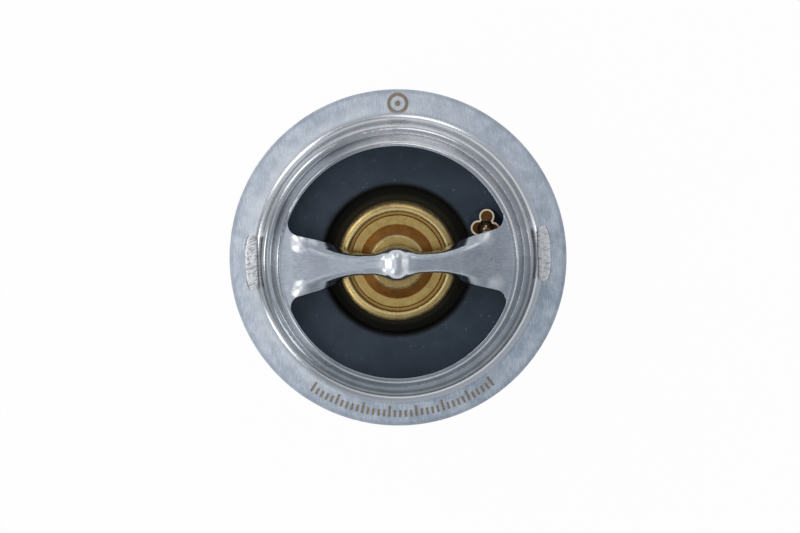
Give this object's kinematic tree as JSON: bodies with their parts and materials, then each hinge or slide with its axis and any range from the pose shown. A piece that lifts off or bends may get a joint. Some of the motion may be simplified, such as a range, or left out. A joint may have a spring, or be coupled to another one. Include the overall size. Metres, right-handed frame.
{
  "type": "engine thermostat",
  "caption": "Wax-element engine thermostat: flanged steel frame with a bridge, rubber-faced valve disc with ball vent, brass element, main spring and bypass valve.",
  "frame": {"origin": "centre of the bypass disc's flat rim, on which the part stands", "axes": "+Z along the thermostat's axis from the bypass valve to the bridge; +X along the bridge; +Y so that the ball vent lies in the +X +Y quarter"},
  "size_m": [0.067, 0.067, 0.0646],
  "materials": {
    "frame_steel": "satin, fine grain",
    "strap_steel": "satin, rough where staked",
    "piston_steel": "ground and polished",
    "brass": "satin, turned",
    "vent_brass": "satin, oxidised inside",
    "valve_rubber": "matt, moulded",
    "inner_rubber": "matt",
    "washer_plastic": "waxy white",
    "wax": "copper-filled wax, matt",
    "plate_steel": "satin, zinc-grey",
    "spring_steel": "drawn wire, satin",
    "ball_steel": "polished"
  },
  "bodies": {
    "frame": {"upper_frame": "frame_steel", "lower_frame": "strap_steel", "piston": "piston_steel", "main_spring": "spring_steel"},
    "element": {"element_cup": "brass", "element_cover": "brass", "guide_seal": "inner_rubber", "boot_washer": "washer_plastic", "rubber_boot": "inner_rubber", "wax_charge": "wax", "valve_plate": "plate_steel", "valve_seal": "valve_rubber", "vent_body": "vent_brass", "bypass_stem": "plate_steel", "stop_washer": "plate_steel", "retaining_ring": "spring_steel", "bypass_spring": "spring_steel"},
    "vent": {"vent_ball": "ball_steel"},
    "bypass": {"bypass_disc": "plate_steel"}
  },
  "joints": [
    {"name": "element_slide", "type": "slide", "parent": "frame", "child": "element", "axis": [0, 0, -1], "range_m": [0, 0.009], "stiffness_N_per_m": 10000, "springref_m": -0.01, "deforming": ["main_spring"]},
    {"name": "vent_lift", "type": "slide", "parent": "element", "child": "vent", "axis": [0, 0, 1], "range_m": [0, 0.0007]},
    {"name": "bypass_slide", "type": "slide", "parent": "element", "child": "bypass", "axis": [0, 0, 1], "range_m": [0, 0.005], "stiffness_N_per_m": 2000, "springref_m": -0.006, "deforming": ["bypass_spring"]}
  ]
}
